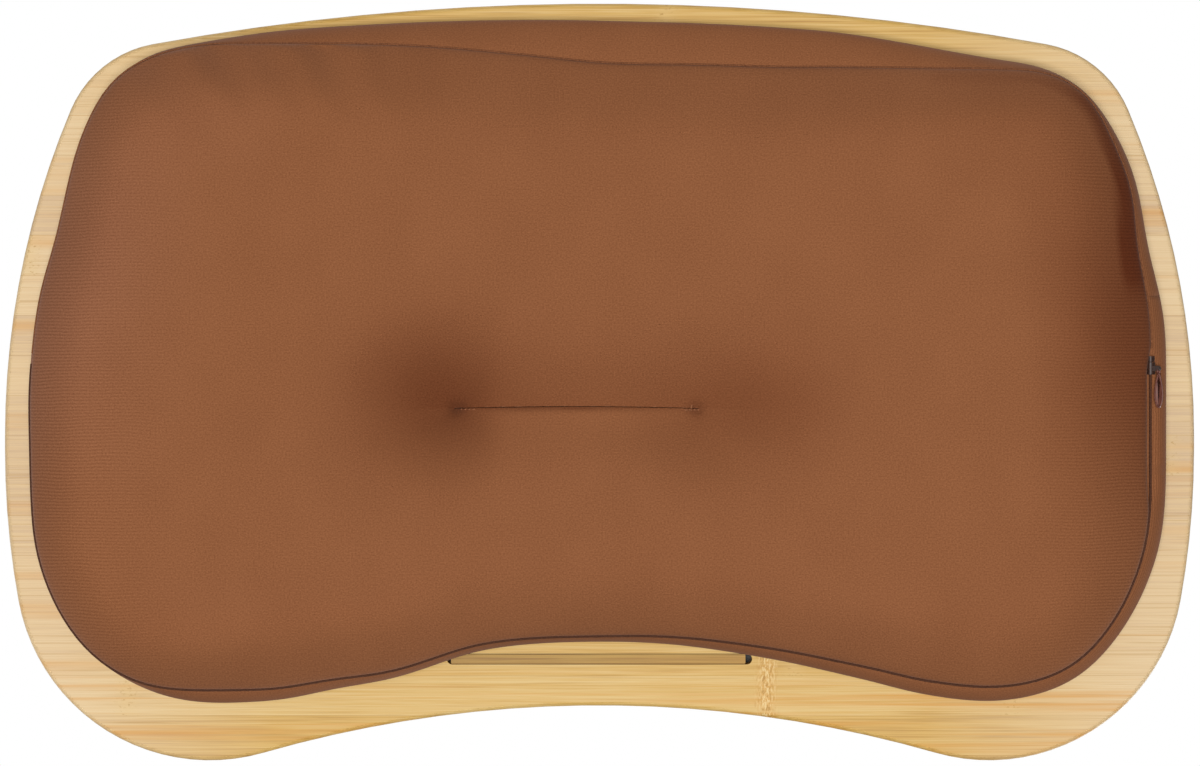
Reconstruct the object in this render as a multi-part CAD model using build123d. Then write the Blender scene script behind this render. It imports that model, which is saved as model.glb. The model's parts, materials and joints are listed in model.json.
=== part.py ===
from build123d import *
from dataclasses import dataclass
import math
import os

# Lap tray: a bamboo board with a stop bar, on a zipped and tufted cushion.
# +Z is up in use, the person sits at -Y, and the cushion's face rests on z = 0.

# Bamboo board
tray_width = 550.0
tray_depth = 350.0
tray_thickness = 12.0
tray_edge_round = 2.5
tray_belly_depth = 25.4
tray_far_radius = 1150.0
tray_side_radius = 388.0
tray_side_top_y = -24.8
tray_side_low_y = -31.7
tray_far_corner = 51.0
tray_near_corner = 90.0

# Slot near the belly edge, and the stop bar that stands in it
slot_length = 141.0
slot_width = 5.0
slot_setback = 21.6
stop_side_clearance = 0.3
stop_end_play = 5.0
stop_shift_x = 0.6
stop_corner = 0.5
stop_head_length = 152.0
stop_head_width = 10.0
stop_head_height = 7.0
stop_head_round = 2.0

# Cushion outline, set back from the board's edge
cushion_side_margin = 15.5
cushion_far_margin = 10.0
cushion_near_margin = 29.0
cushion_belly_margin = 33.1
cushion_far_radius = 1150.0
cushion_side_radius = 200.0

# Plateau of the cushion's face, which the crown runs down to
crown_reach = 60.0

# Ends of the side's straight, and far and near corner, of the widest line and the plateau, over the tray's depth
cushion_side_shares = (0.052, -0.129)
cushion_corner_shares = (0.12, 0.257)
plateau_side_shares = (-0.004, -0.021)
plateau_corner_shares = (0.165, 0.13)

# Heights and insets of the cushion's seams
seam_height = 28.0
seam_inset = 9.0
seam_shift_y = -6.0
widest_height = 42.0
back_height = 55.4
back_inset = 5.0
band_join_share = 0.1286

# Layers of the cushion, from the cover inwards
cover_thickness = 1.2
layer_gap = 0.3
tape_thickness = 0.6
casing_thickness = 0.8
casing_gap = 1.2
crown_turn_shares = (1.0, 0.75, 0.5, 0.25, 0.0)
band_rise_shares = (0.0, 0.5, 1.0)

# Tufted dish in the face, and the thread that pulls it in
tuft_x = 10.5
tuft_y = -12.0
tuft_length = 109.0
dish_reach = 85.0
dish_depth = 30.0
dish_shares = ((1.0, 0.0), (0.68, 0.16), (0.42, 0.4), (0.2, 0.7), (0.04, 1.0))
cord_radius = 1.0
cord_clearance = 0.15
tack_length = 8.0
tack_width = 2.8
tack_thickness = 1.2
thread_width = 1.2
knot_radius = 2.4
knot_thickness = 1.6

# Hook and loop strips between the cushion and the board
strip_length = 90.0
strip_width = 25.0
strip_thickness = 1.3
strip_corner = 3.0
strip_far_side_margin = 125.0
strip_far_margin = 65.0
strip_near_side_margin = 110.0
strip_near_margin = 85.0

# Concealed zip in the seam between the face and the near band
coil_radius = 1.2
coil_top_share = 0.0263
zip_stop_radius = 1.9
zip_stop_length = 2.5
slider_clearance = 0.15
slider_wall = 0.8
slider_length = 5.5
slider_tilt = 20.0
slider_mouth = 1.4
slider_travel = 48.0
lug_thickness = 0.8
lug_space = 1.8
lug_radius = 1.2
pin_radius = 0.5
pin_clearance = 0.05
eye_radius = 1.1
eye_side_clearance = 0.2
eye_seat_gap = 0.2
pull_length = 19.0
pull_width = 4.0
pull_thickness = 1.2
pull_neck_width = 1.6
pull_edge_round = 0.4

# Places worked out from the sizes above
overrun = 1.0
tray_base = back_height + 2 * strip_thickness
tray_top = tray_base + tray_thickness
tray_belly_y = tray_belly_depth - tray_depth / 2
slot_y = tray_belly_y + slot_setback
plateau_inset = seam_inset + crown_reach
band_join_y = tray_depth * band_join_share
coil_top_y = tray_depth * coil_top_share
back_seam_height = back_height - cover_thickness
tape_offset = cover_thickness + layer_gap
casing_offset = tape_offset + tape_thickness + casing_gap
filling_offset = casing_offset + casing_thickness + layer_gap
slider_radius = coil_radius + slider_clearance + slider_wall
slider_y = coil_top_y - layer_gap - slider_length / 2
pin_height = slider_radius + eye_seat_gap + eye_radius


@dataclass
class Rim:
    """A tray outline of tangent arcs, mirrored about X = 0, with its hollow belly edge at -Y."""

    half_width: float
    far_y: float
    near_y: float
    belly_y: float
    far_radius: float
    side_radius: float
    side_top_y: float
    side_low_y: float
    far_corner: float
    near_corner: float

    def half_arcs(self):
        """Centre, radius, start and sweep of the belly arc and of the arcs on the +X side."""
        side_x = self.half_width - self.side_radius
        far = (0, self.far_y - self.far_radius)
        top = (side_x, self.side_top_y)
        low = (side_x, self.side_low_y)
        near_y = self.near_y + self.near_corner
        near_reach = self.side_radius - self.near_corner
        near_x = side_x + math.sqrt(near_reach ** 2 - (near_y - self.side_low_y) ** 2)
        near = (near_x, near_y)
        far_reach = self.far_radius - self.far_corner
        corner = meeting_point(far, far_reach, top, self.side_radius - self.far_corner)
        rise = near_y - self.belly_y
        spare = near_x ** 2 + rise ** 2 - self.near_corner ** 2
        belly_radius = spare / (2 * (self.near_corner - rise))
        belly = (0, self.belly_y - belly_radius)
        return {
            "near": arc_between(near, self.near_corner, bearing(near, belly), bearing(low, near)),
            "low": arc_between(low, self.side_radius, bearing(low, near), 0),
            "top": arc_between(top, self.side_radius, 0, bearing(top, corner)),
            "corner": arc_between(corner, self.far_corner, bearing(top, corner), bearing(far, corner)),
            "far": arc_between(far, self.far_radius, bearing(far, corner), 180 - bearing(far, corner)),
            "belly": arc_between(belly, belly_radius, 180 - bearing(belly, near), bearing(belly, near)),
        }

    def edges(self):
        """The closed outline, edge by edge, counterclockwise from the +X straight."""
        arcs = self.half_arcs()
        right = [arcs["top"], arcs["corner"]]
        left = [arcs["corner"], arcs["top"]]
        line_up = Line((self.half_width, self.side_low_y), (self.half_width, self.side_top_y))
        line_down = Line((-self.half_width, self.side_top_y), (-self.half_width, self.side_low_y))
        far_side = [CenterArc(*arc) for arc in right + [arcs["far"]]] + [mirrored(arc) for arc in left]
        near_side = [mirrored(arcs["low"]), mirrored(arcs["near"])]
        near_side += [CenterArc(*arcs[name]) for name in ("belly", "near", "low")]
        return [line_up] + far_side + [line_down] + near_side

    def face(self, height, shift_y=0):
        """The outline as a flat face at a height."""
        return Pos(0, shift_y, height) * make_face(self.edges())

    def near_path(self, top_y, height, shift_y=0):
        """The near half of the outline, from one side at top_y round the belly to the other side."""
        arcs = self.half_arcs()
        start = Line((-self.half_width, top_y - shift_y), (-self.half_width, self.side_low_y))
        end = Line((self.half_width, self.side_low_y), (self.half_width, top_y - shift_y))
        middle = [mirrored(arcs["low"]), mirrored(arcs["near"])]
        middle += [CenterArc(*arcs[name]) for name in ("belly", "near", "low")]
        return Pos(0, shift_y, height) * Wire([start] + middle + [end])


def bearing(start, end):
    """Direction from one point to another, in degrees."""
    return math.degrees(math.atan2(end[1] - start[1], end[0] - start[0]))


def arc_between(center, radius, start, end):
    """An arc's centre, radius, start and signed sweep."""
    return (center, radius, start, end - start)


def mirrored(arc):
    """The same arc on the other side of X = 0, still run counterclockwise."""
    center, radius, start, sweep_angle = arc
    return CenterArc((-center[0], center[1]), radius, 180 - start - sweep_angle, sweep_angle)


def meeting_point(first, first_reach, second, second_reach):
    """The point at given distances from two centres, on the +X side of the line between them."""
    gap = math.dist(first, second)
    along = (first_reach ** 2 - second_reach ** 2 + gap ** 2) / (2 * gap)
    across = math.sqrt(first_reach ** 2 - along ** 2)
    unit_x = (second[0] - first[0]) / gap
    unit_y = (second[1] - first[1]) / gap
    return (first[0] + along * unit_x + across * unit_y, first[1] + along * unit_y - across * unit_x)


def blend(start, end, share):
    """The value a share of the way from start to end."""
    return start + (end - start) * share


def follow(start_shares, end_shares, share):
    """Sizes a share of the way between two tables of shares of the tray's depth."""
    return [tray_depth * blend(start, end, share) for start, end in zip(start_shares, end_shares)]


def tray_rim():
    """Outline of the bamboo board."""
    return Rim(
        half_width=tray_width / 2,
        far_y=tray_depth / 2,
        near_y=-tray_depth / 2,
        belly_y=tray_belly_y,
        far_radius=tray_far_radius,
        side_radius=tray_side_radius,
        side_top_y=tray_side_top_y,
        side_low_y=tray_side_low_y,
        far_corner=tray_far_corner,
        near_corner=tray_near_corner,
    )


def cushion_rim(inset):
    """Outline of the cushion at an inset from its widest line; its corners change towards the plateau."""
    share = inset / plateau_inset
    side_top_y, side_low_y = follow(cushion_side_shares, plateau_side_shares, share)
    far_corner, near_corner = follow(cushion_corner_shares, plateau_corner_shares, share)
    return Rim(
        half_width=tray_width / 2 - cushion_side_margin - inset,
        far_y=tray_depth / 2 - cushion_far_margin - inset,
        near_y=cushion_near_margin - tray_depth / 2 + inset,
        belly_y=tray_belly_y + cushion_belly_margin + inset,
        far_radius=cushion_far_radius - inset,
        side_radius=cushion_side_radius - inset,
        side_top_y=side_top_y,
        side_low_y=side_low_y,
        far_corner=far_corner,
        near_corner=near_corner,
    )


def crown_levels(offset, shares=crown_turn_shares):
    """Inset, height and shift of the crown's levels, from the plateau up to the face seam."""
    levels = []
    for share in shares:
        turn = math.radians(90 * share)
        inset = seam_inset + offset + crown_reach * (1 - math.cos(turn))
        height = seam_height - (seam_height - offset) * math.sin(turn)
        levels.append((inset, height, seam_shift_y))
    return levels


def lower_band_levels(offset, shares=band_rise_shares):
    """Levels of the band from the face seam up to the widest line."""
    levels = []
    for share in shares:
        lean = (1 - share) ** 2
        height = blend(seam_height, widest_height, share)
        levels.append((seam_inset * lean + offset, height, seam_shift_y * lean))
    return levels


def upper_band_levels(offset, top_height, shares=band_rise_shares):
    """Levels of the band from the widest line up to a height under the back panel."""
    rise = back_seam_height - widest_height
    levels = []
    for share in shares:
        height = blend(widest_height, top_height, share)
        lean = ((height - widest_height) / rise) ** 2
        levels.append((back_inset * lean + offset, height, 0))
    return levels


def skin(levels):
    """A closed solid through outlines of the cushion, level by level."""
    return loft([cushion_rim(inset).face(height, shift) for inset, height, shift in levels], ruled=True)


def dish(offset):
    """The space that the tuft draws into the face, grown into the cushion by an offset."""
    sections = [Pos(tuft_x, tuft_y, -overrun) * stadium(dish_reach)]
    for reach_share, depth_share in dish_shares:
        reach = dish_reach * reach_share + offset * depth_share
        height = dish_depth * depth_share + offset
        sections.append(Pos(tuft_x, tuft_y, height) * stadium(reach))
    return loft(sections, ruled=True)


def stadium(reach):
    """A round-ended outline at a reach from the tuft's line."""
    return SlotCenterToCenter(tuft_length, 2 * reach)


def cord_places():
    """Where the two cords go through the cushion."""
    return [Pos(tuft_x + side * tuft_length / 2, tuft_y, 0) for side in (-1, 1)]


def upright(radius, low, high):
    """A cylinder on the Z axis between two heights."""
    return extrude(Pos(0, 0, low) * Circle(radius), high - low)


def cord_holes():
    """Holes for the cords through every layer."""
    hole = upright(cord_radius + cord_clearance, 0, tray_base)
    return Part() + [place * hole for place in cord_places()]


def near_of(y_limit):
    """A block over everything nearer than a Y, for cutting pieces in two."""
    reach = tray_depth
    block = Box(2 * tray_width, reach, 2 * tray_top, align=(Align.CENTER, Align.MAX, Align.CENTER))
    return Pos(0, y_limit, 0) * block


def along_seam(radius, top_y):
    """A round rod along the zipped part of the face seam."""
    path = cushion_rim(seam_inset).near_path(top_y, seam_height, seam_shift_y)
    section = Plane(path @ 0, z_dir=path % 0) * Circle(radius)
    return sweep(section, path=path)


def beside_seam(radius, low_y, high_y, side):
    """A round rod along the straight of one side's face seam, from low_y to high_y."""
    seam_x = side * cushion_rim(seam_inset).half_width
    section = Plane((seam_x, low_y, seam_height), z_dir=(0, 1, 0)) * Circle(radius)
    return extrude(section, high_y - low_y)


def zip_groove():
    """Room along the seam for the coil, its two stops and the slider's whole travel."""
    groove_top = coil_top_y + zip_stop_length + layer_gap
    slider_low = slider_y - slider_length / 2 - slider_travel - layer_gap
    groove = along_seam(coil_radius + layer_gap, coil_top_y)
    groove += beside_seam(slider_radius + layer_gap, slider_low, groove_top, -1)
    end_low = coil_top_y - layer_gap
    groove += beside_seam(zip_stop_radius + layer_gap, end_low, groove_top, 1)
    return groove


def make_tray_board():
    """Board of pressed bamboo with rounded edges and a slot through it."""
    board = extrude(tray_rim().face(tray_base), tray_thickness)
    board = fillet(board.edges().filter_by(Axis.Z, reverse=True), tray_edge_round)
    slot = Pos(0, slot_y, tray_base) * SlotOverall(slot_length, slot_width)
    return board - extrude(slot, tray_thickness)


def make_stop_bar():
    """Bar whose tongue stands in the slot and whose wider head lies on the board."""
    tongue_length = slot_length - stop_end_play
    tongue_width = slot_width - 2 * stop_side_clearance
    tongue = RectangleRounded(tongue_length, tongue_width, stop_corner)
    bar = extrude(Pos(stop_shift_x, slot_y, tray_base) * tongue, tray_thickness)
    head_outline = Pos(stop_shift_x, slot_y, tray_top) * SlotOverall(stop_head_length, stop_head_width)
    head = extrude(head_outline, stop_head_height)
    head = fillet(head.faces().sort_by(Axis.Z)[-1].edges(), stop_head_round)
    return bar + head


def make_face_panel(groove, holes):
    """Fabric panel over the crown, the plateau and the tufted dish."""
    outside = skin(crown_levels(0)) - dish(0)
    inside = skin(crown_levels(cover_thickness)) - dish(cover_thickness)
    return outside - inside - groove - holes


def make_band():
    """Fabric side band round the whole cushion, from the face seam to the back seam."""
    walls = []
    for offset in (0, cover_thickness):
        walls.append(skin(lower_band_levels(offset) + upper_band_levels(offset, back_seam_height)[1:]))
    return walls[0] - walls[1]


def make_back_panel(holes):
    """Flat fabric panel that closes the cover under the board."""
    return extrude(cushion_rim(back_inset).face(back_seam_height), cover_thickness) - holes


def make_casing_face(holes):
    """Lower half of the thin inner casing, seamed at the widest line."""
    inner = casing_offset + casing_thickness
    outside = skin(crown_levels(casing_offset) + lower_band_levels(casing_offset)[1:]) - dish(casing_offset)
    inside = skin(crown_levels(inner) + lower_band_levels(inner)[1:]) - dish(inner)
    return outside - inside - holes


def make_casing_back(holes):
    """Upper half of the inner casing, under the back panel."""
    inner = casing_offset + casing_thickness
    top = back_seam_height - layer_gap
    outside = skin(upper_band_levels(casing_offset, top))
    inside = skin(upper_band_levels(inner, top - casing_thickness))
    return outside - inside - holes


def make_filling(holes):
    """Fibre filling inside the casing, drawn in by the tuft."""
    top = back_seam_height - 2 * layer_gap - casing_thickness
    levels = crown_levels(filling_offset) + lower_band_levels(filling_offset)[1:]
    levels += upper_band_levels(filling_offset, top)[1:]
    return skin(levels) - dish(filling_offset) - holes


def make_zip_tape_face(groove):
    """Zip tape sewn inside the face panel along the zipped seam."""
    outside = skin(crown_levels(tape_offset, crown_turn_shares[-2:]))
    inside = skin(crown_levels(tape_offset + tape_thickness, crown_turn_shares[-3:]))
    return (outside - inside - groove) & near_of(coil_top_y)


def make_zip_tape_band(groove):
    """Zip tape sewn inside the near band along the zipped seam."""
    shares = band_rise_shares[:2]
    outside = skin(lower_band_levels(tape_offset, shares))
    inside = skin(lower_band_levels(tape_offset + tape_thickness, shares))
    return (outside - inside - groove) & near_of(coil_top_y)


def make_zip_stop(side):
    """Small stop that closes one end of the coil."""
    return beside_seam(zip_stop_radius, coil_top_y, coil_top_y + zip_stop_length, side)


def zip_plane(along=0):
    """Slider's frame: x across the seam, y out of the cushion, z along the travel."""
    tilt = math.radians(slider_tilt)
    seam_x = -cushion_rim(seam_inset).half_width
    origin = (seam_x, slider_y - along, seam_height)
    return Plane(origin, x_dir=(-math.sin(tilt), 0, math.cos(tilt)), z_dir=(0, -1, 0))


def make_zip_slider():
    """Slider that wraps the coil, with two lugs and a pin for the pull."""
    ring = Circle(slider_radius) - Circle(coil_radius + slider_clearance)
    mouth = Rectangle(slider_mouth, 2 * slider_radius, align=(Align.CENTER, Align.MAX))
    body = extrude(zip_plane(-slider_length / 2) * (ring - mouth), slider_length)
    lug_offset = (lug_space + lug_thickness) / 2
    lug_height = pin_height - slider_radius / 2
    cheek = Rectangle(2 * lug_radius, lug_height, align=(Align.CENTER, Align.MIN)) + Circle(lug_radius)
    for side in (-1, 1):
        lug_x = side * lug_offset - lug_thickness / 2
        lug = extrude(Plane((lug_x, pin_height, 0), x_dir=(0, 0, 1), z_dir=(1, 0, 0)) * cheek, lug_thickness)
        body += zip_plane().location * clear_of_coil(lug)
    pin = extrude(Plane((-lug_offset, pin_height, 0), z_dir=(1, 0, 0)) * Circle(pin_radius), 2 * lug_offset)
    return body + zip_plane().location * pin


def clear_of_coil(piece):
    """A piece in the slider's frame, cut back to the slider's outer half."""
    bore = extrude(Circle(coil_radius + slider_clearance + slider_wall / 2), slider_length, both=True)
    return piece - bore


def make_zip_pull():
    """Teardrop pull with an eye round the slider's pin."""
    eye_width = lug_space - 2 * eye_side_clearance
    eye = Circle(eye_radius) - Circle(pin_radius + pin_clearance)
    eye = extrude(Plane((-eye_width / 2, 0, 0), z_dir=(1, 0, 0)) * eye, eye_width)
    drop_z = pull_length - eye_radius - pull_width / 2
    neck_z = lug_radius + eye_side_clearance + pull_neck_width / 2
    flat = Plane((0, 0, 0), x_dir=(1, 0, 0), z_dir=(0, -1, 0))
    hole_radius = pin_radius + pin_clearance
    neck = Rectangle(eye_width, neck_z - hole_radius, align=(Align.CENTER, Align.MIN))
    neck = extrude(flat * Pos(0, hole_radius) * neck, pull_thickness / 2, both=True)
    small = Pos(0, neck_z) * Circle(pull_neck_width / 2)
    large = Pos(0, drop_z) * Circle(pull_width / 2)
    drop = make_hull(small.edges() + large.edges())
    blade = extrude(flat * drop, pull_thickness / 2, both=True)
    blade = fillet(blade.faces().filter_by(Axis.Y).edges(), pull_edge_round)
    return zip_plane().location * Pos(0, pin_height, 0) * (eye + neck + blade)


def strip(x, y, low):
    """One hook or loop strip, flat on a height."""
    outline = Pos(x, y, low) * RectangleRounded(strip_length, strip_width, strip_corner)
    return extrude(outline, strip_thickness)


def make_strips():
    """Loop strips on the cushion's back and hook strips under the board, in facing pairs."""
    strips = {}
    far_place = (tray_width / 2 - strip_far_side_margin, tray_depth / 2 - strip_far_margin)
    near_place = (tray_width / 2 - strip_near_side_margin, strip_near_margin - tray_depth / 2)
    for row, (x, y) in (("far", far_place), ("near", near_place)):
        for name, side in (("left", -1), ("right", 1)):
            strips[f"loop_strip_{row}_{name}"] = strip(side * x, y, back_height)
            strips[f"hook_strip_{row}_{name}"] = strip(side * x, y, back_height + strip_thickness)
    return strips


def make_tuft():
    """Cords through the cushion, tacks and thread in the dish, and knots on the back."""
    tack_outline = SlotOverall(tack_length, tack_width)
    pieces = {}
    for name, place in zip(("left", "right"), cord_places()):
        pieces[f"tuft_cord_{name}"] = place * upright(cord_radius, dish_depth, back_height)
        tack = extrude(Pos(0, 0, dish_depth - tack_thickness) * tack_outline, tack_thickness)
        pieces[f"tuft_tack_{name}"] = place * tack
        knot = upright(knot_radius, back_height, back_height + knot_thickness)
        pieces[f"tuft_knot_{name}"] = place * knot
    thread_length = tuft_length - tack_length
    thread = Pos(tuft_x, tuft_y, dish_depth - thread_width) * Rectangle(thread_length, thread_width)
    pieces["tuft_thread"] = extrude(thread, thread_width)
    return pieces


def make_cover(groove, holes):
    """The zipped cover: face, two half bands, back and the zip itself."""
    band = make_band()
    near_block = near_of(band_join_y)
    return {
        "face_panel": make_face_panel(groove, holes),
        "band_far": band - near_block,
        "band_near": (band & near_block) - groove,
        "back_panel": make_back_panel(holes),
        "zip_tape_face": make_zip_tape_face(groove),
        "zip_tape_band": make_zip_tape_band(groove),
        "zip_coil": along_seam(coil_radius, coil_top_y),
        "zip_top_stop": make_zip_stop(-1),
        "zip_end_stop": make_zip_stop(1),
        "zip_slider": make_zip_slider(),
        "zip_pull": make_zip_pull(),
    }


def make_all():
    """Every piece of the lap tray by name."""
    groove = zip_groove()
    holes = cord_holes()
    pieces = {"tray_board": make_tray_board(), "stop_bar": make_stop_bar()}
    pieces.update(make_cover(groove, holes))
    pieces["casing_face"] = make_casing_face(holes)
    pieces["casing_back"] = make_casing_back(holes)
    pieces["filling"] = make_filling(holes)
    pieces.update(make_tuft())
    pieces.update(make_strips())
    return pieces


os.makedirs("parts", exist_ok=True)
for name, piece in make_all().items():
    export_step(piece, f"parts/{name}.step")
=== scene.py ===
import json
import math
from functools import partial

import bmesh
import bpy
import numpy as np
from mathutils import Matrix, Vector, kdtree


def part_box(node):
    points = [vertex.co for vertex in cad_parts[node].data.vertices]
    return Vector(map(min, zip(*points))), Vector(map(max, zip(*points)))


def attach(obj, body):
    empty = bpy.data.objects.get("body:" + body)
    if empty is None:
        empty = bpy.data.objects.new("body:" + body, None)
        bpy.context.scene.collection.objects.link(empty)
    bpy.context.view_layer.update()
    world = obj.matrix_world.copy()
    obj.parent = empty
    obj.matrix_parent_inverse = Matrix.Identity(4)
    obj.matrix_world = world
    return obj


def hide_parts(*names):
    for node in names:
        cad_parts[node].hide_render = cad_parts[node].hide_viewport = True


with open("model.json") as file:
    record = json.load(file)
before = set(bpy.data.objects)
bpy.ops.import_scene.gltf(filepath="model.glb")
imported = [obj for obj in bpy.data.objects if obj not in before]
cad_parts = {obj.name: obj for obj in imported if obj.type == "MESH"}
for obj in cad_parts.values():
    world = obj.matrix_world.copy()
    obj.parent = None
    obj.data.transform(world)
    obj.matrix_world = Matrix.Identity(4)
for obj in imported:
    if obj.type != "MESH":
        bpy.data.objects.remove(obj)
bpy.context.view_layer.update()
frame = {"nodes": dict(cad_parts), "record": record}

nodes = frame["nodes"]

# Camera.
# The photograph looks straight up at the underside, with the belly edge at the bottom of the picture.
# Its scale is the board's known width over the pixels that the board fills.
picture_width_px = 1200
picture_height_px = 766
board_left_px = 5
board_right_px = 1194
board_middle_x_px = 599.5
board_middle_y_px = 382
sensor_width_mm = 36
camera_distance = 1.9
camera_reach = 100
edge_round = 0.0025

board_low, board_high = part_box("tray_board")
pixel = (board_high.x - board_low.x) / (board_right_px - board_left_px)
outline_height = board_low.z + edge_round
camera_data = bpy.data.cameras.new("camera")
camera_data.sensor_width = sensor_width_mm
camera_data.lens = sensor_width_mm * camera_distance / (picture_width_px * pixel)
camera_data.clip_end = camera_reach
camera = bpy.data.objects.new("camera", camera_data)
camera.location = (
    (board_middle_x_px - picture_width_px / 2) * pixel,
    (board_middle_y_px - picture_height_px / 2) * pixel,
    outline_height - camera_distance,
)
camera.rotation_euler = (0, math.pi, 0)
bpy.context.scene.collection.objects.link(camera)
bpy.context.scene.camera = camera
bpy.context.scene.view_settings.view_transform = "Standard"

# World and lamps.
# White paper all round the product, and large soft boxes: two for the underside that the photograph shows, and three
# for the top.
air_color = (1.0, 0.98, 0.96)
air_strength = 0.24
lamp_target = Vector((0, 0, 0.03))


def feed(tree, node, inputs):
    """Fills a node's inputs, each from a socket to link or from a plain value."""
    for slot, value in inputs.items():
        if isinstance(value, bpy.types.NodeSocket):
            tree.links.new(value, node.inputs[slot])
        elif node.inputs[slot].type == "RGBA":
            node.inputs[slot].default_value = (*value, 1)
        else:
            node.inputs[slot].default_value = value


def add_node(tree, kind, inputs=None, **settings):
    """A new shader node with its settings and its inputs."""
    node = tree.nodes.new("ShaderNode" + kind)
    for name, value in settings.items():
        setattr(node, name, value)
    feed(tree, node, inputs or {})
    return node


def math_node(tree, operation, *values, clamp=False):
    """A Math node on sockets or plain numbers; returns its output socket."""
    return add_node(tree, "Math", dict(enumerate(values)), operation=operation, use_clamp=clamp).outputs[0]


def mix_into(tree, output, factor, first, second):
    """Mixes two shaders by a factor into a new output node."""
    choice = add_node(tree, "MixShader", {0: factor, 1: first.outputs[0], 2: second.outputs[0]})
    add_node(tree, output, {"Surface": choice.outputs[0]})


world = bpy.data.worlds.new("studio")
bpy.context.scene.world = world
world.use_nodes = True
tree = world.node_tree
tree.nodes.clear()
path = add_node(tree, "LightPath").outputs
seen = math_node(tree, "MAXIMUM", path["Is Camera Ray"], path["Is Transmission Ray"])
ambient = add_node(tree, "Background", {"Color": air_color, "Strength": air_strength})
paper = add_node(tree, "Background", {"Color": (1, 1, 1), "Strength": 1.0})
mix_into(tree, "OutputWorld", seen, ambient, paper)

# Each soft box by its place, its width and its power, turned to the product
for name, place, size, power in (
    ("under_key", (0.16, -0.32, -4.8), 1.4, 217),
    ("under_rim", (4.2, 0.3, -1.5), 1.6, 6),
    ("top_key", (-2.4, -2.7, 3.4), 2.4, 170),
    ("top_fill", (3.2, -1.2, 3.0), 3.0, 90),
    ("top_back", (0.3, 3.6, 2.8), 2.6, 70),
):
    lamp = bpy.data.lights.new(name, "AREA")
    lamp.shape = "RECTANGLE"
    lamp.size = size
    lamp.size_y = size
    lamp.energy = power
    holder = bpy.data.objects.new(name, lamp)
    bpy.context.scene.collection.objects.link(holder)
    holder.location = place
    holder.rotation_euler = (Vector(place) - lamp_target).to_track_quat("Z", "Y").to_euler()

# Floor.
# A pale seamless sheet under the cushion. From above it is a plain floor that keeps the shadow and fades into the
# white paper far from the tray. A ray that comes from below passes through it, and so does the light for what that
# ray meets, so that the straight view of the underside has the photograph's plain white behind the board.
floor_drop = 0.0006
floor_size = 60
floor_fade_start = 1.4
floor_fade_length = 2.2
floor_color = (0.86, 0.86, 0.85)

bpy.ops.object.select_all(action="DESELECT")
bpy.ops.mesh.primitive_plane_add(size=floor_size, location=(0, 0, -floor_drop))
floor = bpy.context.object
floor.name = "floor"
bpy.ops.object.transform_apply(location=True, rotation=False, scale=False)
floor_material = bpy.data.materials.new("floor_paper")
floor_material.use_nodes = True
tree = floor_material.node_tree
tree.nodes.clear()
path = add_node(tree, "LightPath").outputs
backfacing = add_node(tree, "NewGeometry").outputs["Backfacing"]
from_below = math_node(tree, "MULTIPLY_ADD", path["Is Camera Ray"], backfacing, path["Transparent Depth"])
above = math_node(tree, "SUBTRACT", 1, from_below, clamp=True)
spot = add_node(tree, "TexCoord").outputs["Object"]
reach = add_node(tree, "VectorMath", {0: spot}, operation="LENGTH").outputs["Value"]
near = add_node(tree, "MapRange", {
    "Value": reach, "From Min": floor_fade_start, "From Max": floor_fade_start + floor_fade_length,
    "To Min": 1, "To Max": 0,
}, interpolation_type="SMOOTHSTEP").outputs[0]
clear = add_node(tree, "BsdfTransparent")
sheet = add_node(tree, "BsdfDiffuse", {"Color": floor_color})
mix_into(tree, "OutputMaterial", math_node(tree, "MULTIPLY", above, near), clear, sheet)
floor.data.materials.append(floor_material)

# Tray board.
# Flat-pressed bamboo: long strips glued edge to edge along X, sanded, with rounded edges and a clear satin coat.
# The strips differ a little in tone, and a knuckle of the cane crosses a strip here and there.
board_strip_width = 0.0185
strip_shift = 3.7
knuckle_spacing = 0.41
knuckle_half = 0.007
knuckle_sway = 0.012
glue_line_start = 0.488
end_pale_start = 0.15
end_pale_slope = 10.0
streak_slope = 70.0
cluster_half = 0.0048
cluster_sway = 0.006
cluster_lit = (0.80, 0.62, 0.30)
shadow_depth = 0.0002

# How often each mark comes per metre, along X, Y and Z
coarse_fibres = (5, 520, 520)
fine_fibres = (26, 2100, 2100)
amber_marks = (2.2, 75, 75)
knuckle_rims = (40, 260, 260)
pores = (14, 1300, 1300)
knuckle_speckles = (500, 900, 900)
streaks = (3.2, 240, 240)
cluster_bends = (30, 160, 160)
cluster_strokes = (1300, 420, 420)


def new_group(name, inputs, outputs):
    """An empty node group on a vector, with numbers in by name and default, and numbers out by name."""
    group = bpy.data.node_groups.new(name, "ShaderNodeTree")
    group.interface.new_socket("Vector", in_out="INPUT", socket_type="NodeSocketVector")
    for socket, value in inputs.items():
        made = group.interface.new_socket(socket, in_out="INPUT", socket_type="NodeSocketFloat")
        made.default_value = value
    for socket in outputs:
        group.interface.new_socket(socket, in_out="OUTPUT", socket_type="NodeSocketFloat")
    return group, group.nodes.new("NodeGroupInput"), group.nodes.new("NodeGroupOutput")


def new_material(name):
    """A new material, with its tree, its shader and its Object coordinates."""
    material = bpy.data.materials.new(name)
    material.use_nodes = True
    tree = material.node_tree
    return material, tree, tree.nodes["Principled BSDF"], add_node(tree, "TexCoord").outputs["Object"]


def axes(tree, vector):
    """The X, Y and Z of a vector."""
    return add_node(tree, "SeparateXYZ", {0: vector}).outputs


def stretched_noise(tree, vector, scale, detail, roughness=0.5):
    """Noise on coordinates that are first scaled per axis; returns the value socket."""
    mapping = add_node(tree, "Mapping", {"Scale": scale, "Vector": vector})
    return add_node(tree, "TexNoise", {
        "Scale": 1.0, "Detail": detail, "Roughness": roughness, "Vector": mapping.outputs[0],
    }).outputs["Fac"]


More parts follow.
